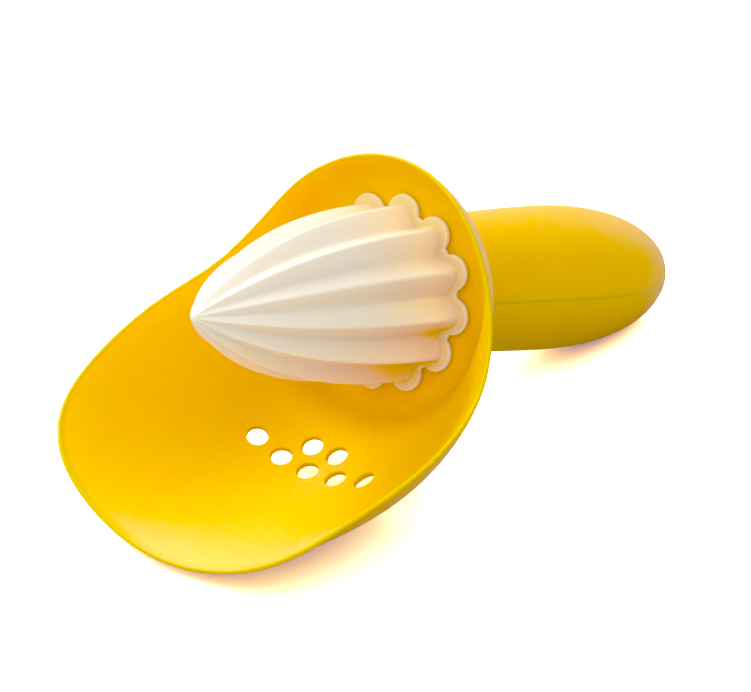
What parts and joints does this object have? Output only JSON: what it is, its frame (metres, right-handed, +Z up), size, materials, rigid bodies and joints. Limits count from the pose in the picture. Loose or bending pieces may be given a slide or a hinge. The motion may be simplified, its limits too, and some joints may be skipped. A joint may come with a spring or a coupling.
{
  "type": "citrus reamer",
  "caption": "Hand-held citrus reamer: translucent ribbed cone with a scalloped flange in a yellow scoop with strainer holes, on a hollow two-shell handle.",
  "frame": {"origin": "on the table plane, on the middle plane between left and right, halfway between the front lip and the handle's rear end", "axes": "+X runs level from the front lip towards the handle's end, +Z is up, and the part lies at rest on its trough and handle"},
  "size_m": [0.193, 0.1006, 0.0773],
  "materials": {
    "ivory_plastic": "translucent gloss",
    "yellow_plastic": "gloss",
    "seal_rubber": "matte"
  },
  "bodies": {
    "handle": {"catcher_bowl": "yellow_plastic", "handle_upper_shell": "yellow_plastic", "handle_lower_shell": "yellow_plastic", "handle_end_cap": "yellow_plastic"},
    "reamer": {"reamer_cone": "ivory_plastic", "cone_spigot": "ivory_plastic", "sealing_ring": "seal_rubber"}
  },
  "joints": [
    {"name": "cone_pull", "type": "slide", "parent": "handle", "child": "reamer", "axis": [-0.9651, 0, 0.2617], "range_m": [0, 0.1]}
  ]
}
